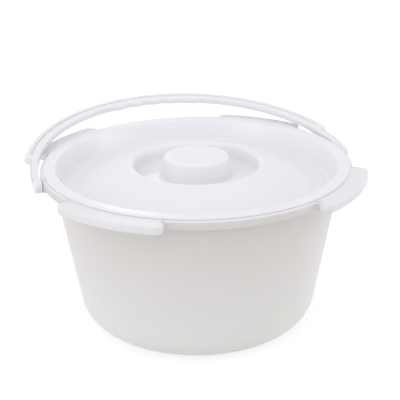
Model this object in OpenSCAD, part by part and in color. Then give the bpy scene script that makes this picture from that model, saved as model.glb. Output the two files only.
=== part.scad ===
// Commode pail with a drop-in lid and a bail handle, in millimetres.
// Z is up, the pail stands on z = 0 around the Z axis, and the handle turns about an axis along X.
// The handle lies folded back, towards +Y, as it does when the pail is put down.

/* [Pail] */
// Height of the flat top of the rim
rim_top = 161; // [130:0.5:200]
// Radius of the mouth, at the inside of the wall
mouth_r = 140.5; // [125:0.5:155]
// Thickness of the pail's wall, base and rim
wall = 1.8; // [1.4:0.1:2.6]
// Lean of the side wall away from upright, in degrees
wall_draft = 10; // [4:0.5:14]
// Inside radius of the bend from the base into the side wall
base_bend = 29; // [12:1:42]

/* [Rim] */
// Width of the flat rim, from the mouth to its outer edge
rim_w = 12; // [10:0.1:18]
// Depth of the edge that turns down from the rim
skirt_h = 8; // [4:0.1:10]
// Rounding of the rim's outer top edge
rim_edge_r = 1.6; // [0.6:0.1:1.8]
// Rounding of the mouth's inner edge
mouth_edge_r = 1.9; // [0.5:0.1:2]

/* [Seat wings] */
// How far each wing reaches past the rim
wing_reach = 14.5; // [8:0.5:20]
// Angle that a front wing covers, in degrees
front_wing_span = 39; // [20:1:50]
// Angle that a back wing covers, in degrees
back_wing_span = 34; // [20:1:50]
// Radius of the wing's corners, seen from above
wing_corner = 6; // [3:0.5:9]
// Angle from the front (-Y) to the middle of a front wing, in degrees
front_wing_turn = 47; // [40:0.5:55]
// Angle from the back (+Y) to the middle of a back wing, in degrees
back_wing_turn = 43.5; // [36:0.5:50]

/* [Lid] */
// Thickness of the lid
lid_t = 2.2; // [1.4:0.1:3]
// Width of the rim that the lid's flange leaves bare
lid_ledge = 3; // [1:0.1:6]
// Gap between the lid's plug and the mouth
lid_gap = 0.5; // [0.3:0.1:1.5]
// Depth of the gutter inside the lid's flange, below the flange's top
gutter_depth = 21.5; // [8:0.5:25]
// Lean of the gutter's outer side from upright, in degrees
gutter_draft = 17; // [12:0.5:24]
// Width of the gutter's bottom, between its outer side and the dome
gutter_w = 14.5; // [10:0.5:30]
// Height of the dome's foot above the gutter's outer corner
dome_foot_rise = 1.4; // [0:0.1:4]
// Height of the dome's upper edge above the flange's top
dome_top = 0.2; // [-4:0.1:8]
// Bulge of the dome half way up its slope
dome_crown = 1.2; // [0.2:0.1:3]
// Rounding of the gutter's and the well's bottom corners
lid_bend = 4; // [2.5:0.1:5]
// Rounding between the plug and the flange
collar_bend = 3.2; // [2.5:0.1:5]
// Rounding where the dome runs into the gutter
dome_bend = 10; // [4:0.5:14]

/* [Lid knob] */
// Radius of the finger well around the knob, at its rim
well_r = 62; // [54:0.5:75]
// Depth of the finger well below its rim
well_depth = 16.5; // [8:0.5:22]
// Lean of the well's outer side from upright, in degrees
well_draft = 12; // [2:1:20]
// Radius of the knob's top
knob_r = 32; // [24:0.5:38]
// Height of the knob's top above the flange's top
knob_top = 5.7; // [3:0.1:16]
// Depth of the dish in the knob's top
knob_dish = 1.2; // [0:0.1:3]
// Lean of the knob's side from upright, in degrees
knob_draft = 6; // [1:1:12]
// Rounding of the knob's top edge
knob_edge = 3; // [2.5:0.1:4]
// Width of the flat edge around the dish
dish_edge = 5; // [4:0.5:9]
// Rounding of the finger well's lip
well_lip = 5; // [2.5:0.5:7]

/* [Handle] */
// How much larger the bail's large arc is than the rim
bail_spread = 15.5; // [13:0.5:24]
// Distance from the pivot axis up to the centre of the bail's large arc
bail_rise = 8; // [2:1:12]
// Width of the inner strip that runs from pivot to pivot
strip_w = 7.5; // [6:0.5:10]
// Width of the groove between the strip and the outer flange
groove_w = 2.5; // [1.2:0.1:4]
// Width of the outer flange
flange_w = 4.4; // [2:0.1:6]
// Thickness of the handle
handle_t = 6; // [4.5:0.5:8]
// Thickness of the web in the groove
web_t = 2; // [1.2:0.1:3.5]
// Length of the block that closes each end of the flange and groove
block_l = 9; // [5:0.5:14]
// How far that block stands out from the strip and flange all round
block_proud = 0.25; // [0.1:0.05:0.6]
// Angle above the arc's centre line where the flange ends and the leg begins, in degrees
leg_angle = 15.5; // [12:0.1:24]
// Angle of the folded handle above level, in degrees
fold_lift = 9; // [8:0.5:60]

/* [Grip] */
// Number of finger hollows
hollow_count = 4; // [3:1:5]
// Distance from one finger hollow to the next
hollow_pitch = 19.7; // [17:0.1:24]
// Depth of the finger hollows
hollow_depth = 2.2; // [0.8:0.1:3.5]
// How far the bottoms of the hollows stand in from the strip's inner edge
hollow_floor = 0.4; // [0.2:0.1:1]

/* [Pivot] */
// Depth of the pivot axis below the rim's top
pivot_depth = 6; // [5:0.1:8]
// Radius of the pail's pivot boss
boss_r = 7; // [5.5:0.1:9]
// How far the boss stands proud of the rim's edge
boss_proud = 0.4; // [0.2:0.1:1.5]
// Radius of the round end of the handle
hub_r = 7.2; // [5:0.1:8]
// How far the round end stands in from the leg, towards the boss
hub_proud = 0.2; // [0.1:0.1:2]
// Length of the round end along the pivot
hub_w = 7.9; // [6:0.1:12]
// Radius of the pivot pin
pin_r = 2.4; // [1.5:0.1:2.6]
// Length of the pivot pin inside its hole
pin_l = 5; // [4:0.5:6]
// Running gap around the pin
pin_gap = 0.05; // [0.02:0.01:0.1]
// Gap between the boss and the handle's round end, and past the pin's tip
end_gap = 0.4; // [0.2:0.1:1]

/* [Hidden] */
$fn = 180;
pail_white = [0.87, 0.86, 0.84];
lid_white = [0.93, 0.93, 0.95];
handle_white = [0.92, 0.92, 0.94];
// Largest turn between neighbouring points of a rounded corner, in degrees
arc_step = 9;
// Overlap of solids that are one moulding
joint = 0.5;
// Rounding of the strip's edges
strip_edge = 1.2;

rim_r = mouth_r + rim_w;
lid_r = rim_r - lid_ledge;
wing_r = rim_r + wing_reach;
flange_top = rim_top + lid_t;
pivot_z = rim_top - pivot_depth;
boss_face = rim_r + boss_proud;
hub_face = boss_face + end_gap;
bail_r = rim_r + bail_spread;
strip_r = bail_r - flange_w - groove_w - strip_w;
// Each wing's direction from the Z axis, and the angle that it covers
wings = [
    [-90 - front_wing_turn, front_wing_span],
    [-90 + front_wing_turn, front_wing_span],
    [90 - back_wing_turn, back_wing_span],
    [90 + back_wing_turn, back_wing_span]
];

// ---- Outlines: a path is a list of [x, y, radius of that corner] ----

function spot(p) = [p[0], p[1]];
function unit(v) = v / norm(v);
function turned(v, a) = [v[0] * cos(a) - v[1] * sin(a), v[0] * sin(a) + v[1] * cos(a)];
function left_of(p, q) = turned(unit(spot(q) - spot(p)), 90);
function reversed(path) = [for (i = [len(path) - 1:-1:0]) path[i]];

// Points of the arc of radius r that rounds corner b between a and c
function corner(a, b, c, r) =
    let (
        ahead = unit(b - a),
        turn = acos(max(-1, min(1, ahead * unit(c - b)))),
        side = cross(b - a, c - b) > 0 ? 1 : -1,
        start = b - ahead * r * tan(turn / 2),
        centre = start + turned(ahead, side * 90) * r,
        steps = max(1, ceil(turn / arc_step))
    )
    [for (k = [0:steps]) centre + turned(start - centre, side * turn * k / steps)];

// A closed path with its corners rounded
function rounded(path) =
    let (n = len(path))
    [for (i = [0:n - 1])
        each path[i][2] > 0
            ? corner(spot(path[(i + n - 1) % n]), spot(path[i]), spot(path[(i + 1) % n]), path[i][2])
            : [spot(path[i])]];

// The path moved by t to its left, with the radii of its bends changed to match
function beside(path, t) =
    let (last = len(path) - 1)
    [for (i = [0:last])
        let (
            before = left_of(path[max(0, i - 1)], path[max(1, i)]),
            after = left_of(path[min(last - 1, i)], path[min(last, i + 1)]),
            move = (before + after) * t / (1 + before * after),
            side = i == 0 || i == last ? 0 : sign(cross(before, after))
        )
        [path[i][0] + move[0], path[i][1] + move[1], max(0, path[i][2] - side * t)]];

// The closed outline of a wall of thickness t on the left of an open path, which starts on the axis
function wall_outline(path, t) = rounded(concat(path, reversed(beside(path, t))));

// ---- Bucket ----

// Underside and outside of the pail, from the middle of its base to the lower edge of its rim
function pail_path() =
    let (
        under_rim = rim_top - wall,
        throat_r = mouth_r + wall / cos(wall_draft) - wall * tan(wall_draft)
    )
    [
        [0, 0, 0],
        [throat_r - under_rim * tan(wall_draft), 0, base_bend + wall],
        [throat_r, under_rim, max(0, mouth_edge_r - wall)],
        [rim_r - wall, under_rim, max(0, rim_edge_r - wall)],
        [rim_r - wall, rim_top - skirt_h, 0]
    ];

// A sector of a ring around Z, reaching spread degrees to each side of the X axis, with rounded outer corners:
// the block that a wing is made from, or the hollow inside it
module sector(root_r, r, spread, corner_r, low, high, edge_r) {
    centre_r = r - corner_r;
    centre_turn = spread - asin(corner_r / centre_r);
    difference() {
        rotate([0, 0, -spread])
            rotate_extrude(angle = 2 * spread)
                polygon(rounded([[root_r, low, 0], [r, low, 0], [r, high, edge_r], [root_r, high, 0]]));
        for (side = [0, 1])
            mirror([0, side, 0])
                translate([0, 0, low - joint])
                    linear_extrude(high - low + 2 * joint)
                        difference() {
                            polygon([
                                centre_r * [cos(centre_turn), sin(centre_turn)],
                                (r + corner_r) * [cos(centre_turn), sin(centre_turn)],
                                (r + corner_r) * [cos(spread + 4), sin(spread + 4)],
                                centre_r * cos(spread - centre_turn) * [cos(spread), sin(spread)]
                            ]);
                            translate(centre_r * [cos(centre_turn), sin(centre_turn)])
                                circle(r = corner_r);
                        }
    }
}

module wing(span) {
    sector(
        rim_r - wall - joint, wing_r, span / 2, wing_corner,
        rim_top - skirt_h, rim_top, rim_edge_r
    );
}

// What is inside a wing: it is open below, and open to the space under the rim
module wing_hollow(span) {
    sector(
        rim_r - wall - 2 * joint, wing_r - wall, span / 2 - asin(wall / wing_r), wing_corner - wall,
        rim_top - skirt_h - joint, rim_top - wall, 0
    );
}

// Everything inside the middle of the pail's wall, and above the part of the rim that the lid covers
module pail_core() {
    middle = beside(pail_path(), wall / 2);
    edge_r = lid_r + joint;
    rotate_extrude()
        polygon(rounded([
            middle[0],
            middle[1],
            middle[2],
            [edge_r, middle[3][1], 0],
            [edge_r, rim_top + 2 * boss_r, 0],
            [0, rim_top + 2 * boss_r, 0]
        ]));
}

// Boss for the handle's pin on the +X side: it grows from the wall under the rim, and its top shows on the rim's edge
module pivot_boss() {
    difference() {
        translate([mouth_r - boss_r, 0, pivot_z])
            rotate([0, 90, 0])
                cylinder(r = boss_r, h = boss_face - mouth_r + boss_r);
        pail_core();
    }
}

module pivot_bore() {
    translate([hub_face - pin_l - end_gap, 0, pivot_z])
        rotate([0, 90, 0])
            cylinder(r = pin_r + pin_gap, h = pin_l + 2 * end_gap);
}

module bucket() {
    color(pail_white)
        difference() {
            union() {
                rotate_extrude() polygon(wall_outline(pail_path(), wall));
                for (w = wings)
                    rotate([0, 0, w[0]]) wing(w[1]);
                for (side = [0, 1])
                    mirror([side, 0, 0]) pivot_boss();
            }
            for (w = wings)
                rotate([0, 0, w[0]]) wing_hollow(w[1]);
            for (side = [0, 1])
                mirror([side, 0, 0]) pivot_bore();
        }
}

// ---- Lid ----

// Upper side of the lid, from the middle of its knob to the edge of its flange
function lid_path() =
    let (
        well_floor = dome_top - well_depth,
        dome_foot = dome_foot_rise - gutter_depth,
        collar_r = mouth_r - lid_gap - lid_t / cos(gutter_draft),
        gutter_r = collar_r - gutter_depth * tan(gutter_draft),
        dome_foot_r = gutter_r - gutter_w
    )
    [
        [0, knob_top - knob_dish, 0],
        [knob_r - dish_edge, knob_top, 2.5 * dish_edge],
        [knob_r, knob_top, knob_edge],
        [knob_r + (knob_top - well_floor) * tan(knob_draft), well_floor, lid_bend],
        [well_r - well_depth * tan(well_draft), well_floor, lid_bend],
        [well_r, dome_top, well_lip],
        [(well_r + dome_foot_r) / 2, (dome_top + dome_foot) / 2 + dome_crown, 2 * well_r],
        [dome_foot_r, dome_foot, dome_bend],
        [gutter_r, -gutter_depth, lid_bend],
        [collar_r, 0, collar_bend],
        [lid_r, 0, lid_t * 0.45]
    ];

module lid() {
    upper = lid_path();
    lower = beside(upper, -lid_t);
    color(lid_white)
        translate([0, 0, flange_top])
            rotate_extrude()
                polygon(rounded(concat(reversed(upper), lower)));
}

// ---- Handle: drawn upright, with the pivot axis along X through the origin ----

// Section of the inner strip, whose inner face is at radius r
function strip_path(r, edge) = [
    [r, -handle_t / 2, edge],
    [r + strip_w, -handle_t / 2, edge],
    [r + strip_w, handle_t / 2, edge],
    [r, handle_t / 2, edge]
];

// Section of the outer flange and the web that joins it to the strip
module flange_section() {
    edge = flange_w * 0.35;
    polygon(rounded([
        [bail_r - flange_w, -handle_t / 2, edge],
        [bail_r, -handle_t / 2, edge],
        [bail_r, handle_t / 2, edge],
        [bail_r - flange_w, handle_t / 2, edge]
    ]));
    translate([strip_r + strip_w / 2, -web_t / 2])
        square([bail_r - flange_w / 2 - strip_r - strip_w / 2, web_t]);
}

// Sweeps a section, drawn at its radius, from angle a to angle b in the handle's plane
module swept(a, b) {
    rotate([90, 0, 0])
        rotate([0, 0, a])
            rotate_extrude(angle = b - a)
                children();
}

// The large arc with its flange and groove, from leg to leg
module bail() {
    swept(leg_angle, 180 - leg_angle) {
        polygon(rounded(strip_path(strip_r, strip_edge)));
        flange_section();
    }
}

// Block across the whole section, where the flange ends and the leg begins
module end_block() {
    turn = block_l / bail_r * 90 / PI;
    low = [strip_r - block_proud, -handle_t / 2 - block_proud];
    swept(leg_angle - turn, leg_angle + turn)
        translate(low)
            square([bail_r + block_proud - low[0], -2 * low[1]]);
}

// One leg: it leaves the large arc along its tangent, nearly straight, and ends at the pivot
module leg() {
    out = [cos(leg_angle), sin(leg_angle)];
    span = [hub_face + hub_proud, -bail_rise] - strip_r * out;
    leg_r = -(span * span) / (2 * span * out);
    centre = [0, bail_rise] + (strip_r - leg_r) * out;
    foot = asin(-centre[1] / (leg_r + strip_w / 2));
    translate([centre[0], 0, centre[1]])
        swept(foot, leg_angle - 0.2)
            polygon(rounded(strip_path(leg_r, strip_edge)));
}

// Round end of a leg, with the pin that turns in the boss
module hub() {
    translate([hub_face, 0, 0])
        rotate([0, 90, 0])
            cylinder(r = hub_r, h = hub_w);
    translate([hub_face - pin_l, 0, 0])
        rotate([0, 90, 0])
            cylinder(r = pin_r, h = pin_l + hub_w / 2);
}

// Ridges between the finger hollows, on the inner edge of the strip
module finger_ridges() {
    half = (hollow_count + 1) * hollow_pitch / 2;
    half_turn = half / strip_r * 180 / PI;
    steps = 12 * (hollow_count + 1);
    edge = [for (k = [-steps:steps])
        let (
            a = 90 - half_turn * k / steps,
            ridge = (1 - cos(360 * (k / steps + 1) * half / hollow_pitch)) / 2,
            r = strip_r - hollow_floor - hollow_depth * ridge
        )
        r * [cos(a), sin(a)]];
    root = [for (k = [-10:10])
        let (a = 90 - half_turn * k / 10)
        (strip_r + strip_w / 2) * [cos(a), sin(a)]];
    rotate([90, 0, 0])
        linear_extrude(handle_t - 1.4 * strip_edge, center = true)
            polygon(concat(edge, reversed(root)));
}

module handle() {
    color(handle_white)
        translate([0, 0, pivot_z])
            rotate([fold_lift - 90, 0, 0])
                union() {
                    translate([0, 0, bail_rise]) {
                        bail();
                        finger_ridges();
                    }
                    for (side = [0, 1])
                        mirror([side, 0, 0]) {
                            translate([0, 0, bail_rise]) end_block();
                            leg();
                            hub();
                        }
                }
}

bucket();
lid();
handle();
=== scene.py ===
import math

import bpy
import numpy as np
from bpy.props import FloatProperty, FloatVectorProperty, IntProperty, PointerProperty
from bpy.types import Operator, Panel, PropertyGroup
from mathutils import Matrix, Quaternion, Vector


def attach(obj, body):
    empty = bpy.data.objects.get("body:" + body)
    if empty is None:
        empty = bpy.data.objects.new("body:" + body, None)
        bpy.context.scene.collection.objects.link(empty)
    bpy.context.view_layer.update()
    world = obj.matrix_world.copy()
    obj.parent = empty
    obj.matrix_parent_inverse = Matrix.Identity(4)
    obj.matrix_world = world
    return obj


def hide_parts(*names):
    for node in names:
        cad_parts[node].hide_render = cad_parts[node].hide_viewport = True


bl_info = {
    "name": "Commode Pail",
    "version": (1, 0, 0),
    "blender": (4, 5, 0),
    "location": "View3D > Sidebar > Commode Pail",
    "description": "Builds a commode pail with seat wings, a drop-in lid and a bail handle",
    "category": "Add Mesh",
}

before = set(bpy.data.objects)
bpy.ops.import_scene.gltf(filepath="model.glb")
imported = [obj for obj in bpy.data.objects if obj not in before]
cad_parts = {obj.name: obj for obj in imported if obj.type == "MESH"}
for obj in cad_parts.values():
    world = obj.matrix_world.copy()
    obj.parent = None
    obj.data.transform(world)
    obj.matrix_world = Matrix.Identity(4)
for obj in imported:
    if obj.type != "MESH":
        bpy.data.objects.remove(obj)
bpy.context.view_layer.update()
MM = 0.001
# Edges that turn by more than this stay crisp
CRISP = math.radians(38)
# In millimetres: the pin's clearance in its hole, how far the handle's blocks stand out all round, and the
# length over which the finger ridges fade in at both ends of the grip
PIN_GAP = 0.05
BLOCK_PROUD = 0.2
RIDGE_FADE = 4
# The room's light on matt surfaces: its even level, its gains towards the right, the back and the top, and
# its gain towards both sides
ROOM = (0.532, -0.111, -0.115, 0.307, 0.133)


def length(name, description, default, low, high):
    """A length property, in metres, from values in millimetres."""
    return FloatProperty(
        name=name,
        description=description,
        default=default * MM,
        min=low * MM,
        max=high * MM,
        unit="LENGTH",
        subtype="DISTANCE",
        precision=4,
    )


def angle(name, description, default, low, high):
    """An angle property, in radians, from values in degrees."""
    return FloatProperty(
        name=name,
        description=description,
        default=math.radians(default),
        min=math.radians(low),
        max=math.radians(high),
        unit="ROTATION",
        subtype="ANGLE",
    )


def finish_colour(name, description, default):
    """A colour property, as the shader takes it."""
    return FloatVectorProperty(
        name=name, description=description, default=default, size=3, min=0, max=1, subtype="COLOR"
    )


class PailSizes(PropertyGroup):
    rim_top: length("Rim Top", "Height of the flat top of the rim", 161, 130, 200)
    mouth: length("Mouth Radius", "Radius of the mouth, at the inside of the wall", 140.5, 125, 155)
    wall: length("Wall", "Thickness of the wall, base and rim", 1.8, 1.4, 2.6)
    draft: angle("Wall Draft", "Lean of the side wall away from upright", 10, 4, 14)
    base_bend: length("Base Bend", "Inside radius of the bend from base to wall", 29, 12, 42)
    rim_width: length("Rim Width", "Width of the flat rim", 12, 10, 18)
    skirt: length("Skirt", "Depth of the edge that turns down from the rim", 8, 4, 10)
    rim_edge: length("Rim Edge", "Rounding of the rim's outer top edge", 1.6, 0.6, 1.8)
    mouth_edge: length("Mouth Edge", "Rounding of the mouth's inner edge", 1.9, 0.5, 2)
    wing_reach: length("Wing Reach", "How far each wing reaches past the rim", 14.5, 8, 20)
    front_span: angle("Front Wing Span", "Angle that a front wing covers", 39, 20, 50)
    back_span: angle("Back Wing Span", "Angle that a back wing covers", 34, 20, 50)
    wing_corner: length("Wing Corner", "Radius of the wing's corners, seen from above", 7.5, 3, 9)
    wing_root: length("Wing Root", "Radius where a wing's side meets the rim", 2.2, 0.5, 5)
    front_turn: angle("Front Wing Turn", "From the front to the middle of a front wing", 47, 40, 55)
    back_turn: angle("Back Wing Turn", "From the back to the middle of a back wing", 43.5, 36, 50)


class LidSizes(PropertyGroup):
    thick: length("Lid Thickness", "Thickness of the lid", 2.2, 1.4, 3)
    ledge: length("Bare Rim", "Width of the rim that the flange leaves bare", 3, 1, 6)
    gap: length("Plug Gap", "Gap between the lid's plug and the mouth", 0.5, 0.3, 1.5)
    gutter_depth: length("Gutter Depth", "Depth of the gutter below the flange", 21.5, 8, 25)
    gutter_draft: angle("Gutter Draft", "Lean of the gutter's outer side from upright", 17, 12, 24)
    gutter_width: length("Gutter Width", "Width of the gutter's bottom", 14.5, 10, 30)
    foot_rise: length("Dome Foot Rise", "Height of the dome's foot above the gutter", 1.4, 0, 4)
    dome_top: length("Dome Top", "Height of the dome's edge above the flange", 0.2, -4, 8)
    dome_crown: length("Dome Crown", "Bulge of the dome half way up its slope", 1.2, 0.2, 3)
    well: length("Well Radius", "Radius of the finger well at its rim", 62, 54, 75)
    well_depth: length("Well Depth", "Depth of the finger well below its rim", 16.5, 8, 22)
    well_draft: angle("Well Draft", "Lean of the well's outer side", 12, 2, 20)
    knob: length("Knob Radius", "Radius of the knob's top", 32, 24, 38)
    knob_top: length("Knob Top", "Height of the knob's top above the flange", 5.7, 3, 16)
    knob_dish: length("Knob Dish", "Depth of the dish in the knob's top", 1.2, 0, 3)
    knob_draft: angle("Knob Draft", "Lean of the knob's side", 6, 1, 12)


class HandleSizes(PropertyGroup):
    spread: length("Bail Spread", "How much larger the large arc is than the rim", 15.5, 14, 24)
    rise: length("Bail Rise", "From the pivot up to the large arc's centre", 6.5, 2, 9)
    strip: length("Strip Width", "Width of the inner strip", 7.2, 6, 10)
    groove: length("Groove Width", "Width of the groove outside the strip", 2.8, 1.2, 4)
    flange: length("Flange Width", "Width of the outer flange", 4.4, 2, 6)
    thick: length("Handle Thickness", "Thickness of the handle", 6, 4.5, 8)
    web: length("Web Thickness", "Thickness of the web in the groove", 2, 1.2, 3.5)
    block: length("Block Length", "Length of the block that ends the groove", 9, 7, 14)
    block_corner: length("Block Corner", "Rounding of the flange's end", 4, 1, 4)
    leg_angle: angle("Leg Angle", "Where the flange ends and the leg begins", 17.4, 12, 24)
    fold: angle("Fold", "Angle of the folded handle above level", 9, 8, 60)
    ridges: IntProperty(name="Ridges", description="Finger ridges on the grip", default=5, min=3, max=7)
    pitch: length("Ridge Pitch", "From one finger ridge to the next", 19.7, 17, 24)
    ridge_height: length("Ridge Height", "Height of the finger ridges", 2.6, 0.8, 3.5)
    pivot_depth: length("Pivot Depth", "Depth of the pivot axis below the rim's top", 6, 6, 9)
    boss: length("Boss Radius", "Radius of the pail's pivot boss", 7, 5.5, 9)
    boss_proud: length("Boss Proud", "How far the boss stands out from the rim", 0.4, 0.2, 1.5)
    hub: length("Hub Radius", "Radius of the handle's round end", 6.7, 4, 8)
    hub_proud: length("Hub Proud", "How far the round end stands in from the leg", 0.2, 0.1, 2)
    hub_width: length("Hub Width", "Length of the round end along the pivot", 7.5, 6, 12)
    pin: length("Pin Radius", "Radius of the pivot pin", 2.4, 1.5, 2.6)
    pin_length: length("Pin Length", "Length of the pin inside its hole", 5, 4, 6)
    end_gap: length("End Gap", "Gap between the boss and the round end", 0.4, 0.2, 1)


class PlasticFinish(PropertyGroup):
    # painted light: the foot's colour is lighter than the middle's and stands in for the extra light that
    # comes through the milky wall near the base
    foot: finish_colour("Pail Foot", "Colour of the pail's milky plastic near its base", (0.925, 0.911, 0.89))
    middle: finish_colour("Pail Middle", "Colour of the pail half way up its wall", (0.855, 0.825, 0.813))
    # painted shade: the wall under the rim is darker and stands in for the shade that the rim's overhang
    # casts
    shade: finish_colour("Pail Top", "Colour of the wall under the rim", (0.79, 0.758, 0.738))
    # painted shade: the skirt is darker than the rim's top and stands in for the shade on its upright face
    skirt: finish_colour("Skirt", "Colour of the edge that turns down from the rim", (0.735, 0.708, 0.706))
    rim: finish_colour("Rim", "Colour of the rim's top and the wings", (0.838, 0.832, 0.872))
    lid: finish_colour("Lid", "Colour of the lid's plastic", (0.886, 0.884, 0.924))
    handle: finish_colour("Handle", "Colour of the handle's plastic", (0.887, 0.88, 0.915))


class StudioSettings(PropertyGroup):
    distance: length("Camera Distance", "From the camera to the middle of the rim", 1040, 400, 4000)
    turn: angle("Camera Turn", "Turn of the camera from the pail's front", -17, -180, 180)
    height: angle("Camera Height", "Angle of the camera above the rim", 19.29, 0, 90)
    pitch: angle("Camera Pitch", "How far the camera looks down", 21.32, -90, 90)
    yaw: angle("Camera Yaw", "How far the camera looks to the right of the middle", 0.18, -10, 10)
    roll: angle("Camera Roll", "How far the camera leans to its left", -0.55, -10, 10)
    lens: FloatProperty(
        name="Lens", description="Focal length", default=95.13, min=20, max=400, unit="CAMERA"
    )


# ---- Outlines and grids ----


def rounded(points, radii, step=7.5):
    """The open path through points, with each inner corner replaced by an arc of the given radius. An arc's
    centre lies on the corner's bisector, and its points turn from one tangent point to the other in equal
    steps."""
    points = np.asarray(points, float)
    out = [points[:1]]
    for before, at, after, radius in zip(points, points[1:], points[2:], radii[1:-1]):
        ahead = (at - before) / np.linalg.norm(at - before)
        onward = (after - at) / np.linalg.norm(after - at)
        turn = math.atan2(ahead[0] * onward[1] - ahead[1] * onward[0], ahead @ onward)
        if radius <= 0 or abs(turn) < 1e-6:
            out.append(at[None])
            continue
        start = at - ahead * radius * math.tan(abs(turn) / 2)
        side = np.array([-ahead[1], ahead[0]]) * math.copysign(1, turn)
        centre = start + side * radius
        t = np.linspace(0, turn, max(3, math.ceil(abs(math.degrees(turn)) / step) + 1))
        spoke = start - centre
        out.append(
            centre
            + np.stack(
                [
                    spoke[0] * np.cos(t) - spoke[1] * np.sin(t),
                    spoke[0] * np.sin(t) + spoke[1] * np.cos(t),
                ],
                1,
            )
        )
    out.append(points[-1:])
    return np.concatenate(out)


def beside(points, radii, gap):
    """The path moved by gap to its left. Each corner goes along its bisector to where the two moved sides
    meet, and its radius grows or shrinks by gap, so that both paths' arcs share their centres."""
    points = np.asarray(points, float)
    along = np.diff(points, axis=0)
    along /= np.linalg.norm(along, axis=1)[:, None]
    left = np.stack([-along[:, 1], along[:, 0]], 1)
    before = np.concatenate([left[:1], left])
    after = np.concatenate([left, left[-1:]])
    moved = points + (before + after) * gap / (1 + np.sum(before * after, 1))[:, None]
    turn = before[:, 0] * after[:, 1] - before[:, 1] * after[:, 0]
    bend = np.asarray(radii, float) - np.sign(np.where(np.abs(turn) < 1e-9, 0, turn)) * gap
    return moved, np.where(np.asarray(radii) > 0, np.maximum(bend, 0), 0)


def refined(path, longest):
    """The path with its straight runs cut so that no step is over the given length."""
    steps = np.linalg.norm(np.diff(path, axis=0), axis=1)
    counts = np.maximum(1, np.ceil(steps / longest)).astype(int)
    start = np.repeat(path[:-1], counts, axis=0)
    step = np.repeat(np.diff(path, axis=0) / counts[:, None], counts, axis=0)
    nth = np.arange(counts.sum()) - np.repeat(np.cumsum(counts) - counts, counts)
    return np.concatenate([start + step * nth[:, None], path[-1:]])


def closed_grid(name, points, first_pole, last_pole, slot, node, body, material):
    """An object from a grid of points, rows by columns. Each row is a closed ring, neighbouring rings are
    joined by quads, and the first and last ring close on a pole. The volume's sign tells which way is
    outwards."""
    rows, columns = points.shape[:2]
    verts = np.concatenate([points.reshape(-1, 3), [first_pole, last_pole]])
    at = np.arange(rows * columns).reshape(rows, columns)
    beyond = np.roll(at, -1, axis=1)
    quads = np.stack([at[:-1], beyond[:-1], beyond[1:], at[1:]], -1).reshape(-1, 4)
    pole = rows * columns
    first = np.stack([np.full(columns, pole), beyond[0], at[0]], 1)
    last = np.stack([np.full(columns, pole + 1), at[-1], beyond[-1]], 1)
    tris = np.concatenate([quads[:, [0, 1, 2]], quads[:, [0, 2, 3]], first, last])
    a, b, c = (verts[tris[:, k]] for k in range(3))
    if np.einsum("ij,ij->", a, np.cross(b, c)) < 0:
        quads, first, last = quads[:, ::-1], first[:, ::-1], last[:, ::-1]
    faces = [quads.ravel(), first.ravel(), last.ravel()]
    sizes = np.repeat([4, 3, 3], [len(quads), len(first), len(last)])
    mesh = bpy.data.meshes.new(name)
    mesh.vertices.add(len(verts))
    mesh.vertices.foreach_set("co", (verts * MM).astype(np.float32).ravel())
    mesh.loops.add(int(sizes.sum()))
    mesh.loops.foreach_set("vertex_index", np.concatenate(faces).astype(np.int32))
    mesh.polygons.add(len(sizes))
    starts = np.concatenate([[0], np.cumsum(sizes)[:-1]])
    mesh.polygons.foreach_set("loop_start", starts.astype(np.int32))
    mesh.polygons.foreach_set("use_smooth", np.ones(len(sizes), bool))
    mesh.update(calc_edges=True)
    if mesh.validate():
        raise RuntimeError(f"{name} has faulty faces")
    mesh.set_sharp_from_angle(angle=CRISP)
    piece = bpy.data.objects.new(name, mesh)
    bpy.context.collection.objects.link(piece)
    mesh.materials.append(material)
    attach(piece, body)
    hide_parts(node)
    return piece


def turned_round(path, columns):
    """Surface of revolution: the path's point at distance r and height z goes round the Z axis through the
    angle t, as (r cos t, r sin t, z)."""
    t = np.linspace(0, 2 * np.pi, columns, endpoint=False)
    r, z = path[:, :1], path[:, 1:]
    return np.stack([r * np.cos(t), r * np.sin(t), np.broadcast_to(z, (len(path), columns))], -1)


# ---- Pail ----


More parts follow.
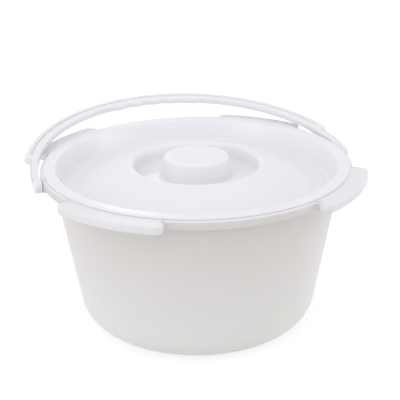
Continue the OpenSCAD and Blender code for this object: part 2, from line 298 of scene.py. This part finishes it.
def rim_outline(s):
    """The rim's outer edge seen from above, with its outward normals and the angle that each of its points
    gets on the mouth. A wing is an arc of a larger circle between two radial sides. The arc at a corner is
    centred where it touches the larger circle and the side, and the arc at a root where it touches the
    rim's circle and the side."""
    # points on a root's arc, a side and a corner's arc, and the fewest on an arc of the rim
    root_points, side_points, corner_points, fewest = 7, 4, 12, 6
    rim = s["mouth"] + s["rim_width"]
    tip = rim + s["wing_reach"]
    root_turn = math.asin(s["wing_root"] / (rim + s["wing_root"]))
    corner_turn = math.asin(s["wing_corner"] / (tip - s["wing_corner"]))
    foot = math.sqrt((rim + s["wing_root"]) ** 2 - s["wing_root"] ** 2)
    shoulder = math.sqrt((tip - s["wing_corner"]) ** 2 - s["wing_corner"] ** 2)
    front, back = s["front_turn"], s["back_turn"]
    # each wing's middle and the half of its span
    wings = [
        (-np.pi / 2 + front, s["front_span"] / 2),
        (np.pi / 2 - back, s["back_span"] / 2),
        (np.pi / 2 + back, s["back_span"] / 2),
        (3 * np.pi / 2 - front, s["front_span"] / 2),
    ]
    points, normals = [], []

    def arc(radius_of_centre, turn_of_centre, radius, start, end, count, sign=1.0):
        t = np.linspace(start, end, count, endpoint=False)
        spoke = np.stack([np.cos(t), np.sin(t)], 1)
        centre = radius_of_centre * np.array([math.cos(turn_of_centre), math.sin(turn_of_centre)])
        points.append(centre + radius * spoke)
        normals.append(sign * spoke)

    def side(turn, start, end, facing, count):
        r = np.linspace(start, end, count, endpoint=False)[:, None]
        points.append(r * np.array([math.cos(turn), math.sin(turn)]))
        normals.append(np.tile([math.cos(turn + facing), math.sin(turn + facing)], (count, 1)))

    last = -np.pi / 2
    right = np.pi / 2
    for middle, half in wings:
        low, high = middle - half, middle + half
        turn = low - root_turn
        arc(0, 0, rim, last, turn, max(fewest, round(math.degrees(turn - last))))
        arc(rim + s["wing_root"], turn, s["wing_root"], turn + np.pi, low + right, root_points, -1.0)
        side(low, foot, shoulder, -right, side_points)
        turn = low + corner_turn
        arc(tip - s["wing_corner"], turn, s["wing_corner"], low - right, turn, corner_points)
        arc(0, 0, tip, turn, high - corner_turn, round(math.degrees(2 * half)))
        turn = high - corner_turn
        arc(tip - s["wing_corner"], turn, s["wing_corner"], turn, high + right, corner_points)
        side(high, shoulder, foot, right, side_points)
        turn = high + root_turn
        arc(rim + s["wing_root"], turn, s["wing_root"], high - right, turn - np.pi, root_points, -1.0)
        last = turn
    arc(0, 0, rim, last, 3 * np.pi / 2, max(fewest, round(math.degrees(3 * np.pi / 2 - last))))
    points, normals = np.concatenate(points), np.concatenate(normals)
    step = np.roll(points, -1, axis=0) - points
    polar = np.arctan2(points[:, 1], points[:, 0])
    gain = (np.roll(polar, -1) - polar + np.pi) % (2 * np.pi) - np.pi
    # a wing's sides are radial, so a step counts by its angle and, a little, by its length
    by_length = 0.12
    share = np.maximum(gain, 0) + by_length * np.linalg.norm(step, axis=1) / tip
    turn = np.concatenate([[0], np.cumsum(share)[:-1]]) / share.sum() * 2 * np.pi - np.pi / 2
    return points, normals, turn


def pail_surface(s):
    """The pail as one closed shell over (place along the section, place round the rim). Inside the mouth
    and below the rim a ring is a circle. On the rim's faces it runs straight from the mouth's circle to the
    outline, and the skirt's rings are the outline moved along its normals."""
    top, wall = s["rim_top"], s["wall"]
    lean = math.tan(s["draft"])
    under = top - wall
    throat = s["mouth"] + wall / math.cos(s["draft"]) - wall * lean
    # the paths run on past the rim's corner, so that its bend has room
    past, longest_step, fine, coarse = 20, 12, 6, 18
    inner = rounded(
        [[0, wall], [s["mouth"] - under * lean, wall], [s["mouth"], top], [s["mouth"] + past, top]],
        [0, s["base_bend"], s["mouth_edge"], 0],
        fine,
    )[:-1]
    throat_bend, lip_bend, root_bend = 1.2, 0.7, 0.8
    outer = rounded(
        [[throat + past, under], [throat, under], [throat - under * lean, 0], [0, 0]],
        [0, throat_bend, s["base_bend"] + wall, 0],
        fine,
    )[1:]
    inner, outer = refined(inner, longest_step), refined(outer, longest_step)
    edge = s["rim_edge"]
    low = top - s["skirt"]
    # the skirt's section: distance outside the outline, and height
    skirt = rounded(
        [[-edge, top], [0, top], [0, low], [-wall, low], [-wall, under], [-wall - 3, under]],
        [0, edge, lip_bend, lip_bend, root_bend, 0],
        coarse,
    )
    outline, normal, turn = rim_outline(s)
    circle = np.stack([np.cos(turn), np.sin(turn)], 1)

    def rings(path):
        flat = path[:, None, :1] * circle
        return np.concatenate([flat, np.broadcast_to(path[:, None, 1:], flat.shape[:2] + (1,))], -1)

    def moved(path):
        flat = outline + path[:, None, :1] * normal
        return np.concatenate([flat, np.broadcast_to(path[:, None, 1:], flat.shape[:2] + (1,))], -1)

    def between(a, b, count):
        t = np.linspace(0, 1, count + 2)[1:-1, None, None]
        return a * (1 - t) + b * t

    inside, outside, edge_rings = rings(inner[1:]), rings(outer[:-1]), moved(skirt)
    points = np.concatenate(
        [
            inside,
            between(inside[-1], edge_rings[0], 3),
            edge_rings,
            between(edge_rings[-1], outside[0], 3),
            outside,
        ]
    )
    return points, [0, 0, wall], [0, 0, 0]


def boss_surface(s, side):
    """A pivot boss over (place along its section, angle round the pivot). Next to the wall its ring is a
    circle cut off flat inside the rim's plate, and past the lid it is the whole circle. The section then
    turns in at the boss's face and runs down the blind bore."""
    rim = s["mouth"] + s["rim_width"]
    face = rim + s["boss_proud"]
    bottom = face - s["pin_length"]
    bore, radius = s["pin"] + PIN_GAP, s["boss"]
    # the whole circle begins this far outside the lid's edge, and the flat lies this far under the rim's top
    clear_of_lid, under_top = 0.6, 0.6
    # the foot lies inside the wall, just past the mouth
    foot = s["mouth"] + 0.1
    collar = rim - s["ledge"] + clear_of_lid
    collar_bend, face_bend, bore_bend = 0.5, 0.7, 0.25
    t = np.linspace(0, 2 * np.pi, 96, endpoint=False)
    flat = s["pivot_depth"] - under_top
    cut = np.where(np.sin(t) * radius > flat, flat / np.maximum(np.sin(t), 1e-6), radius)
    full = rounded(
        [[collar, 0], [collar, radius], [face, radius], [face, bore], [bottom, bore]],
        [0, collar_bend, face_bend, bore_bend, 0],
        15,
    )[1:]
    x = np.concatenate([[foot, foot, collar], full[:, 0]])
    r = np.concatenate([[cut * 0.5, cut, cut], full[:, 1:] * np.ones_like(t)])
    z = s["rim_top"] - s["pivot_depth"]
    points = np.stack(
        [np.broadcast_to(side * x[:, None], r.shape), r * np.cos(t), z + r * np.sin(t)], -1
    )
    return points, [side * foot, 0, z], [side * bottom, 0, z]


# ---- Lid ----


def lid_surface(s, pail):
    """The lid's section turned round the Z axis: the upper side from the knob's middle to the flange's
    edge, and the underside a wall's thickness below it, back to the middle."""
    t = s["thick"]
    floor = s["dome_top"] - s["well_depth"]
    foot = s["foot_rise"] - s["gutter_depth"]
    collar = pail["mouth"] - s["gap"] - t / math.cos(s["gutter_draft"])
    gutter = collar - s["gutter_depth"] * math.tan(s["gutter_draft"])
    dome_foot = gutter - s["gutter_width"]
    well, knob = s["well"], s["knob"]
    edge = pail["mouth"] + pail["rim_width"] - s["ledge"]
    # the dish ends this far inside the knob's edge
    knob_border = 5
    dish_bend, knob_bend, floor_bend, well_lip = 12.5, 3, 4, 5
    foot_bend, gutter_bend, collar_bend = 5, 4, 3.2
    # distance, height and bend of each corner
    corners = [
        [0, s["knob_top"] - s["knob_dish"], 0],
        [knob - knob_border, s["knob_top"], dish_bend],
        [knob, s["knob_top"], knob_bend],
        [knob + (s["knob_top"] - floor) * math.tan(s["knob_draft"]), floor, floor_bend],
        [well - s["well_depth"] * math.tan(s["well_draft"]), floor, floor_bend],
        [well, s["dome_top"], well_lip],
        [(well + dome_foot) / 2, (s["dome_top"] + foot) / 2 + s["dome_crown"], 2 * well],
        [dome_foot, foot, foot_bend],
        [gutter, -s["gutter_depth"], gutter_bend],
        [collar, 0, collar_bend],
        [edge, 0, 0],
    ]
    path = np.array(corners)
    low, low_bend = beside(path[:, :2], path[:, 2], -t)
    # the flange's edge is rounder above than below
    edge_bends = [t * 0.45, t * 0.3]
    section = rounded(
        np.concatenate([path[:, :2], low[::-1]]),
        np.concatenate([path[:-1, 2], edge_bends, low_bend[-2::-1]]),
        6,
    )
    section = refined(section, 7)
    section[:, 1] += pail["rim_top"] + t
    points = turned_round(section[1:-1], 256)
    return points, [0, 0, section[0, 1]], [0, 0, section[-1, 1]]


# ---- Handle ----


def bail_path(s, pail):
    """Stations along the strip's inner edge, in the handle's plane: one leg's arc, the large arc, and the
    other leg's arc, which meet along one tangent. Gives each station's place and outward normal, its
    distances from the grip's middle and from the place where the leg begins, and the distance of the round
    ends from the middle."""
    rim = pail["mouth"] + pail["rim_width"]
    hub_face = rim + s["boss_proud"] + s["end_gap"]
    strip_r = rim + s["spread"] - s["flange"] - s["groove"] - s["strip"]
    lift = s["leg_angle"]
    # the leg's arc leaves the large arc along its tangent and ends at the round end
    out = np.array([math.cos(lift), math.sin(lift)])
    span = np.array([hub_face + s["hub_proud"], -s["rise"]]) - strip_r * out
    leg_r = -(span @ span) / (2 * span @ out)
    centre = np.array([0, s["rise"]]) + (strip_r - leg_r) * out
    foot = math.asin(-centre[1] / (leg_r + s["strip"] / 2))
    block = s["block"] / 2 / (strip_r + s["strip"])
    grip = (s["ridges"] * s["pitch"] / 2 + RIDGE_FADE) / strip_r
    quarter = np.pi / 2
    # stations crowd where the flange's end is round, and lie in a close pair where the groove ends
    flange_end = np.array([0, 0.03, 0.07, 0.13, 0.22, 0.34, 0.5]) * 2 * block
    close, first_step, leg_step = 0.0016, 0.012, 0.004
    leg_stations, arc_stations, grip_stations = 30, 40, 91
    leg_turn = np.linspace(foot, lift - block / 2, leg_stations)
    leg_turn = leg_turn[leg_turn < lift - block - leg_step]
    turn = np.concatenate(
        [
            leg_turn,
            lift - block + flange_end,
            [lift + block - close, lift + block, lift + block + close],
            np.linspace(lift + block + first_step, quarter - grip, arc_stations),
            np.linspace(quarter - grip, quarter, grip_stations)[1:],
        ]
    )

    def on(centre, radius):
        n = np.stack([np.cos(turn), np.sin(turn)], 1)
        return centre + radius * n, n

    p_leg, n_leg = on(centre, leg_r)
    p_arc, n_arc = on(np.array([0, s["rise"]]), strip_r)
    on_leg = (turn < lift)[:, None]
    p = np.where(on_leg, p_leg, p_arc)
    n = np.where(on_leg, n_leg, n_arc)
    along = (quarter - turn) * strip_r
    from_block = (turn - lift) * np.where(on_leg[:, 0], leg_r, strip_r)
    mirror = np.array([-1.0, 1.0])
    p = np.concatenate([p, p[-2::-1] * mirror])
    n = np.concatenate([n, n[-2::-1] * mirror])
    along = np.concatenate([along, -along[-2::-1]])
    from_block = np.concatenate([from_block, from_block[-2::-1]])
    return p, n, along, from_block, hub_face


def handle_surface(s, pail):
    """The whole bail over (place along the path, place round the section). The section is half an outline,
    mirrored: the strip's inner edge, its face, the groove down to the web, and the flange. Along the path
    the inner edge moves in by (1 - cos) waves for the finger ridges, the groove fills up at the block, and
    past it the flange shrinks to the strip."""
    p, n, along, from_block, hub_face = bail_path(s, pail)
    half, web = s["thick"] / 2, s["web"] / 2
    strip, groove, flange = s["strip"], s["groove"], s["flange"]
    block = s["block"] / 2
    reach = s["ridges"] * s["pitch"] / 2
    wave = (1 - np.cos(2 * np.pi * (along + reach) / s["pitch"])) / 2
    fade = np.clip((reach - np.abs(along)) / RIDGE_FADE + 0.5, 0, 1)
    fade = fade * fade * (3 - 2 * fade)
    lowest, inner_bend, ridge_bend = 0.4, 1.2, 1.1
    ridge = (lowest + (s["ridge_height"] - lowest) * wave) * fade
    rounding = (inner_bend + ridge_bend * fade * wave)[:, None]
    # 1 where the groove is open, 0 where the block fills it
    groove_open = (from_block > block + 0.05).astype(float)[:, None]
    # 1 where the flange is whole; its end on the leg's side is a quarter round
    end = np.clip((from_block + block) / s["block_corner"], 0, 1)
    flange_out = np.sqrt(np.maximum(0, 1 - (1 - end) ** 2))[:, None]
    bare = 1 - flange_out
    in_block = np.abs(from_block) < block + 0.02
    proud = (BLOCK_PROUD * in_block)[:, None]
    t = np.linspace(0, np.pi / 2, 7)
    round_in, round_out = 1 - np.cos(t), np.sin(t)

    def column(across, height):
        one = np.ones((len(along), 1))
        return np.stack(np.broadcast_arrays(across * one, height * one), -1)

    full = half + proud
    bottom = web * groove_open + full * (1 - groove_open)
    outer = strip + (groove + flange) * flange_out + proud
    web_end = np.minimum(strip + groove, outer - 0.02)
    inner = -(ridge[:, None] + proud)
    # the rounding of the groove's edges and of the flange's outer edge
    bend = 0.45
    edge = np.minimum(0.35 * flange, (outer - web_end) * 0.45)
    # offsets of a few hundredths keep neighbouring columns apart
    half_section = [
        # the strip's inner edge and its face, and its outer edge, which is rounder on the leg
        column(inner + rounding * round_in, full - rounding + rounding * round_out),
        column(strip - 2.5, full),
        column(strip - bend - 0.6 * bare, full),
        column(strip - 0.05 - 0.2 * bare, full - bend - 0.5 * bare),
        column(np.minimum(strip + 0.02, outer), full - 1.1),
        # the groove's bottom
        column(np.minimum(strip + 0.05, outer), bottom),
        column(web_end - 0.03, bottom),
        # the flange
        column(web_end, full - bend),
        column(np.minimum(web_end + bend, outer - edge), full),
        column(outer - edge + edge * np.sin(t), full - edge + edge * np.cos(t)),
    ]
    # in the block the strip's outer edge and the groove lie flat with the faces
    filled = (1 - groove_open[:, :, None]) * in_block[:, None, None]
    for k in range(2, 8):
        flat = np.array(half_section[k])
        flat[..., 1] = full
        half_section[k] = half_section[k] * (1 - filled) + flat * filled
    upper = np.concatenate(half_section, axis=1)
    section = np.concatenate([upper, upper[:, ::-1] * np.array([1.0, -1.0])], axis=1)
    level = p[:, None] + n[:, None] * section[..., :1]
    fold = math.pi / 2 - s["fold"]
    z = pail["rim_top"] - s["pivot_depth"]

    def folded(x, b, lift):
        y = b * math.cos(fold) + lift * math.sin(fold)
        return np.stack([x, y, z - b * math.sin(fold) + lift * math.cos(fold)], -1)

    points = folded(level[..., 0], section[..., 1], level[..., 1])
    middle = level.mean(axis=1)
    poles = folded(middle[[0, -1], 0], np.zeros(2), middle[[0, -1], 1])
    return points, poles[0], poles[1], hub_face


def hub_surface(s, pail, side, hub_face):
    """A round end and its pin turned round the pivot axis: the section runs from the pin's tip along the
    pin, out over the hub's inner face, along its side and in to its outer face's middle."""
    tip, far = hub_face - s["pin_length"], hub_face + s["hub_width"]
    tip_bend, root_bend, inner_bend, outer_bend = 0.5, 0.3, 0.8, 2.2
    section = rounded(
        [[tip, 0], [tip, s["pin"]], [hub_face, s["pin"]], [hub_face, s["hub"]], [far, s["hub"]], [far, 0]],
        [0, tip_bend, root_bend, inner_bend, outer_bend, 0],
        15,
    )[1:-1]
    section = refined(section, 1.5)
    t = np.linspace(0, 2 * np.pi, 72, endpoint=False)
    x, r = section[:, :1], section[:, 1:]
    z = pail["rim_top"] - s["pivot_depth"]
    points = np.stack(
        [np.broadcast_to(side * x, (len(section), len(t))), r * np.cos(t), z + r * np.sin(t)], -1
    )
    return points, [side * tip, 0, z], [side * far, 0, z]


# ---- Plastics ----


def plastic(name, colours, tint, rough, coat, peel, scatter=0, reach=None):
    """A moulded plastic. Its colours are given with the height in millimetres where each one holds, and
    blend between those heights. Past the distance `reach` from the Z axis the last colour holds at every
    height. The colours drift slowly towards a tint, the gloss changes in soft patches and fine scuffs, and
    the skin has a shallow ripple, as deep as `peel` in metres, and a fine grain."""
    material = bpy.data.materials.new(name)
    material.use_nodes = True
    nodes, links = material.node_tree.nodes, material.node_tree.links
    shader = nodes["Principled BSDF"]
    shader.inputs["Coat Weight"].default_value = coat
    shader.inputs["Coat Roughness"].default_value = 0.14
    shader.inputs["IOR"].default_value = 1.49
    if scatter:
        shader.inputs["Subsurface Weight"].default_value = scatter
        shader.inputs["Subsurface Radius"].default_value = (1.0, 0.9, 0.8)
        shader.inputs["Subsurface Scale"].default_value = 0.006
    place = nodes.new("ShaderNodeTexCoord").outputs["Object"]

    def noise(scale, detail, roughness=0.5, vector=place):
        node = nodes.new("ShaderNodeTexNoise")
        node.inputs["Scale"].default_value = scale
        node.inputs["Detail"].default_value = detail
        node.inputs["Roughness"].default_value = roughness
        links.new(vector, node.inputs["Vector"])
        return node.outputs["Fac"]

    def spread(value, from_low, from_high, to_low, to_high):
        node = nodes.new("ShaderNodeMapRange")
        limits = {"From Min": from_low, "From Max": from_high, "To Min": to_low, "To Max": to_high}
        for socket, number in limits.items():
            node.inputs[socket].default_value = number
        links.new(value, node.inputs["Value"])
        return node.outputs["Result"]

    def maths(operation, a, b):
        node = nodes.new("ShaderNodeMath")
        node.operation = operation
        links.new(a, node.inputs[0])
        links.new(b, node.inputs[1])
        return node.outputs["Value"]

    def bumped(strength, depth, height, normal=None):
        node = nodes.new("ShaderNodeBump")
        node.inputs["Strength"].default_value = strength
        node.inputs["Distance"].default_value = depth
        links.new(height, node.inputs["Height"])
        if normal:
            links.new(normal, node.inputs["Normal"])
        return node.outputs["Normal"]

    def from_axis():
        flat, distance = nodes.new("ShaderNodeVectorMath"), nodes.new("ShaderNodeVectorMath")
        flat.operation, distance.operation = "MULTIPLY", "LENGTH"
        flat.inputs[1].default_value = (1, 1, 0)
        links.new(place, flat.inputs[0])
        links.new(flat.outputs["Vector"], distance.inputs[0])
        return distance.outputs["Value"]

    parts = nodes.new("ShaderNodeSeparateXYZ")
    links.new(place, parts.inputs[0])
    blend = nodes.new("ShaderNodeValToRGB")
    stops, top = blend.color_ramp.elements, max(height for height, _ in colours) or 1.0
    # the ramp's own two stops make way for the colours
    stops.remove(stops[-1])
    for height, colour in colours:
        stop = stops.new(height / top)
        stop.color = (*colour, 1)
    stops.remove(stops[0])
    level = spread(parts.outputs["Z"], 0, top * MM, 0, 1)
    if reach:
        # the change of colour past the reach takes 3 mm
        level = maths("MAXIMUM", spread(from_axis(), reach * MM, (reach + 3) * MM, 0, 1), level)
    links.new(level, blend.inputs["Fac"])
    drift = nodes.new("ShaderNodeMix")
    drift.data_type = "RGBA"
    drift.blend_type = "MULTIPLY"
    links.new(blend.outputs["Color"], drift.inputs["A"])
    drift.inputs["B"].default_value = (*tint, 1)
    links.new(spread(noise(7, 3), 0.35, 0.68, 0, 1), drift.inputs["Factor"])
    links.new(drift.outputs["Result"], shader.inputs["Base Color"])

    # the scuffs are long in height
    stretched = nodes.new("ShaderNodeMapping")
    stretched.inputs["Scale"].default_value = (1, 1, 0.15)
    links.new(place, stretched.inputs["Vector"])
    scuff = noise(320, 4, vector=stretched.outputs["Vector"])
    patches = spread(noise(16, 4, 0.6), 0.3, 0.7, rough - 0.015, rough + 0.02)
    marks = spread(scuff, 0.58, 0.75, 0, 0.04)
    links.new(maths("ADD", patches, marks), shader.inputs["Roughness"])

    ripple = bumped(0.2, peel, noise(22, 2))
    grain = bumped(0.04, 0.0001, noise(1400, 2), ripple)
    links.new(grain, shader.inputs["Normal"])
    return material


def in_mm(group):
    """The group's sizes as plain numbers: lengths in millimetres, angles in radians, counts as they are."""
    sizes = {}
    for key in group.bl_rna.properties.keys():
        prop = group.bl_rna.properties[key]
        if prop.type not in {"FLOAT", "INT"} or prop.is_array:
            continue
        sizes[key] = getattr(group, key) / (MM if prop.subtype == "DISTANCE" else 1)
    return sizes


def merged(name, parts):
    """One piece from several closed shells of the same moulding."""
    first = parts[0]
    with bpy.context.temp_override(
        active_object=first, selected_editable_objects=parts, object=first, selected_objects=parts
    ):
        bpy.ops.object.join()
    first.name = name
    first.data.name = name
    return first


# ---- Operators ----


class COMMODE_OT_pail(Operator):
    """Build the pail: one shell with its rim and seat wings, and the two pivot bosses"""

    bl_idname = "commode.pail"
    bl_label = "Pail"
    bl_options = {"REGISTER", "UNDO"}

    def execute(self, context):
        scene = context.scene
        pail, lid, handle = in_mm(scene.pail_sizes), in_mm(scene.lid_sizes), in_mm(scene.handle_sizes)
        finish, top = scene.plastic_finish, pail["rim_top"]
        # the wall's colours from the foot to the rim, then the skirt's, the rim's and the wings'. The wall is
        # painted lighter towards the foot as painted light, and the wall under the rim and the skirt are
        # painted darker as painted shade
        colours = [
            # painted light near the foot
            (8, finish.foot),
            (top * 0.54, finish.middle),
            # painted shade on the wall under the rim
            (top * 0.84, finish.shade),
            (top - pail["skirt"] - 2, finish.shade),
            # painted shade on the skirt
            (top - pail["skirt"], finish.skirt),
            (top - pail["rim_edge"], finish.skirt),
            (top - 0.3, finish.rim),
        ]
        tint = (0.985, 0.98, 0.965)
        material = plastic(
            "milky_polypropylene",
            colours,
            tint,
            rough=0.36,
            coat=0.12,
            peel=0.0003,
            scatter=0.25,
            reach=pail["mouth"] + pail["rim_width"] + 0.5,
        )
        sizes = {**lid, **handle, **pail}
        parts = [closed_grid("pail_shell", *pail_surface(pail), "bucket", "bucket", "bucket", material)]
        for side in (1, -1):
            surface = boss_surface(sizes, side)
            parts.append(closed_grid(f"pivot_boss_{side}", *surface, "bucket", "bucket", "bucket", material))
        merged("pail", parts)
        return {"FINISHED"}


class COMMODE_OT_lid(Operator):
    """Build the lid with its flange, gutter, dome, finger well and knob"""

    bl_idname = "commode.lid"
    bl_label = "Lid"
    bl_options = {"REGISTER", "UNDO"}

    def execute(self, context):
        scene = context.scene
        colours = [(0, scene.plastic_finish.lid)]
        tint = (0.985, 0.985, 0.99)
        material = plastic("white_lid_plastic", colours, tint, rough=0.3, coat=0.28, peel=0.00008)
        surface = lid_surface(in_mm(scene.lid_sizes), in_mm(scene.pail_sizes))
        closed_grid("lid", *surface, "lid", "lid", "lid", material)
        return {"FINISHED"}


class COMMODE_OT_handle(Operator):
    """Build the bail handle with its flange, finger ridges, legs, round ends and pins"""

    bl_idname = "commode.handle"
    bl_label = "Handle"
    bl_options = {"REGISTER", "UNDO"}

    def execute(self, context):
        scene = context.scene
        sizes, pail = in_mm(scene.handle_sizes), in_mm(scene.pail_sizes)
        colours = [(0, scene.plastic_finish.handle)]
        tint = (0.985, 0.985, 0.99)
        material = plastic("white_handle_plastic", colours, tint, rough=0.32, coat=0.2, peel=0.00008)
        points, first, last, hub_face = handle_surface(sizes, pail)
        parts = [closed_grid("bail", points, first, last, "handle", "handle", "handle", material)]
        for side in (1, -1):
            surface = hub_surface(sizes, pail, side, hub_face)
            parts.append(closed_grid(f"round_end_{side}", *surface, "handle", "handle", "handle", material))
        merged("handle_bail", parts)
        return {"FINISHED"}


class COMMODE_OT_studio(Operator):
    """Build the floor, the lights, the world and the camera"""

    bl_idname = "commode.studio"
    bl_label = "Studio"
    bl_options = {"REGISTER", "UNDO"}

    def execute(self, context):
        scene = context.scene
        studio = scene.studio_settings
        self.floor(scene)
        self.lights(scene)
        away, rise = studio.distance * math.cos(studio.height), studio.distance * math.sin(studio.height)
        camera = bpy.data.objects.new("camera", bpy.data.cameras.new("camera"))
        scene.collection.objects.link(camera)
        rise += scene.pail_sizes.rim_top
        camera.location = (away * math.sin(studio.turn), -away * math.cos(studio.turn), rise)
        heading = -studio.turn + studio.yaw
        ahead = Vector(
            (
                math.sin(heading) * math.cos(studio.pitch),
                math.cos(heading) * math.cos(studio.pitch),
                -math.sin(studio.pitch),
            )
        )
        lean = Quaternion((0, 0, 1), studio.roll)
        camera.rotation_euler = (ahead.to_track_quat("-Z", "Y") @ lean).to_euler()
        camera.data.lens = studio.lens
        camera.data.sensor_width = 36
        camera.data.clip_end = 50
        scene.camera = camera
        scene.view_settings.view_transform = "Standard"
        return {"FINISHED"}

    def floor(self, scene):
        mesh = bpy.data.meshes.new("floor")
        half = 6.0
        corners = [(-half, -half, 0), (half, -half, 0), (half, half, 0), (-half, half, 0)]
        mesh.from_pydata(corners, [], [(0, 1, 2, 3)])
        floor = bpy.data.objects.new("floor", mesh)
        scene.collection.objects.link(floor)
        material = bpy.data.materials.new("studio_floor")
        material.use_nodes = True
        nodes, links = material.node_tree.nodes, material.node_tree.links
        nodes.clear()
        out = nodes.new("ShaderNodeOutputMaterial")
        seen = nodes.new("ShaderNodeLightPath")
        matt, soft = nodes.new("ShaderNodeBsdfDiffuse"), nodes.new("ShaderNodeBsdfDiffuse")
        glow = nodes.new("ShaderNodeEmission")
        matt.inputs["Color"].default_value = (0.8, 0.8, 0.8, 1)
        soft.inputs["Color"].default_value = (0.3, 0.3, 0.3, 1)
        glow.inputs["Strength"].default_value = 0.78
        both, choose = nodes.new("ShaderNodeAddShader"), nodes.new("ShaderNodeMixShader")
        links.new(soft.outputs[0], both.inputs[0])
        links.new(glow.outputs[0], both.inputs[1])
        sight = nodes.new("ShaderNodeMath")
        sight.operation = "MAXIMUM"
        links.new(seen.outputs["Is Camera Ray"], sight.inputs[0])
        links.new(seen.outputs["Is Glossy Ray"], sight.inputs[1])
        links.new(sight.outputs[0], choose.inputs["Fac"])
        links.new(matt.outputs[0], choose.inputs[1])
        links.new(both.outputs[0], choose.inputs[2])
        links.new(choose.outputs[0], out.inputs["Surface"])
        mesh.materials.append(material)

    def lights(self, scene):
        world = bpy.data.worlds.new("studio")
        world.use_nodes = True
        scene.world = world
        nodes, links = world.node_tree.nodes, world.node_tree.links
        ground = nodes["Background"]
        ground.inputs["Color"].default_value = (1, 1, 1, 1)

        def maths(operation, *values):
            node = nodes.new("ShaderNodeMath")
            node.operation = operation
            for socket, value in zip(node.inputs, values):
                if isinstance(value, (int, float)):
                    socket.default_value = value
                else:
                    links.new(value, socket)
            return node.outputs[0]

        # the room's level for each direction from the object, on matt surfaces only
        place, parts = nodes.new("ShaderNodeTexCoord"), nodes.new("ShaderNodeSeparateXYZ")
        links.new(place.outputs["Generated"], parts.inputs[0])
        x, y, z = parts.outputs
        even, across, back, up, sides = ROOM
        level = maths("MULTIPLY_ADD", x, across, even)
        level = maths("MULTIPLY_ADD", y, back, level)
        level = maths("MULTIPLY_ADD", z, up, level)
        level = maths("MULTIPLY_ADD", maths("MULTIPLY", x, x), sides, level)
        level = maths("MAXIMUM", level, 0.0)
        seen = nodes.new("ShaderNodeLightPath")
        sight = maths("MAXIMUM", seen.outputs["Is Camera Ray"], seen.outputs["Is Glossy Ray"])
        sight = maths("MAXIMUM", sight, seen.outputs["Is Transmission Ray"])
        room = maths("MULTIPLY", level, maths("SUBTRACT", 1.0, sight))
        links.new(maths("ADD", room, sight), ground.inputs["Strength"])
        lamps = {
            # name: place, aimed at, width, height, watts
            "top_softbox": ((-0.2, -0.3, 1.7), (0, 0, 0.1), 1.2, 1.2, 2.3),
            "left_softbox": ((-1.5, -0.7, 0.9), (0, 0, 0.1), 0.9, 1.2, 2.7),
            "right_softbox": ((1.5, -0.3, 0.9), (0, 0, 0.1), 0.9, 1.2, 2.0),
            "left_low_softbox": ((-1.5, -0.6, 0.3), (0, 0, 0.08), 0.9, 0.5, 1.35),
            "right_low_softbox": ((1.5, -0.8, 0.3), (0, 0, 0.08), 0.9, 0.5, 2.7),
            "back_left_strip": ((-0.9, 1.5, 0.9), (0, 0, 0.15), 0.16, 0.16, 0.25),
            "back_right_strip": ((0.35, 1.8, 0.9), (0, 0, 0.15), 0.16, 0.16, 0.25),
        }
        for name, (place, aim, wide, high, watts) in lamps.items():
            data = bpy.data.lights.new(name, "AREA")
            data.shape = "RECTANGLE"
            data.size, data.size_y, data.energy = wide, high, watts
            lamp = bpy.data.objects.new(name, data)
            lamp.location = place
            lamp.rotation_euler = (Vector(aim) - Vector(place)).to_track_quat("-Z", "Y").to_euler()
            scene.collection.objects.link(lamp)


GROUPS = {
    "pail_sizes": PailSizes,
    "lid_sizes": LidSizes,
    "handle_sizes": HandleSizes,
    "plastic_finish": PlasticFinish,
    "studio_settings": StudioSettings,
}
OPERATORS = [COMMODE_OT_pail, COMMODE_OT_lid, COMMODE_OT_handle, COMMODE_OT_studio]


class COMMODE_PT_panel(Panel):
    """Lists the pail's pieces, sizes and finishes"""

    bl_label = "Commode Pail"
    bl_idname = "COMMODE_PT_panel"
    bl_space_type = "VIEW_3D"
    bl_region_type = "UI"
    bl_category = "Commode Pail"

    def draw(self, context):
        for operator in OPERATORS:
            self.layout.operator(operator.bl_idname)
        for name in GROUPS:
            box = self.layout.box()
            box.label(text=name.replace("_", " ").title())
            group = getattr(context.scene, name)
            for key in group.bl_rna.properties.keys():
                if key not in {"rna_type", "name"}:
                    box.prop(group, key)


def register():
    for group in (*GROUPS.values(), *OPERATORS, COMMODE_PT_panel):
        bpy.utils.register_class(group)
    for name, group in GROUPS.items():
        setattr(bpy.types.Scene, name, PointerProperty(type=group))


def unregister():
    for name in GROUPS:
        delattr(bpy.types.Scene, name)
    for group in reversed((*GROUPS.values(), *OPERATORS, COMMODE_PT_panel)):
        bpy.utils.unregister_class(group)


def main():
    register()
    bpy.ops.commode.pail()
    bpy.ops.commode.lid()
    bpy.ops.commode.handle()
    bpy.ops.commode.studio()


if __name__ == "__main__":
    main()
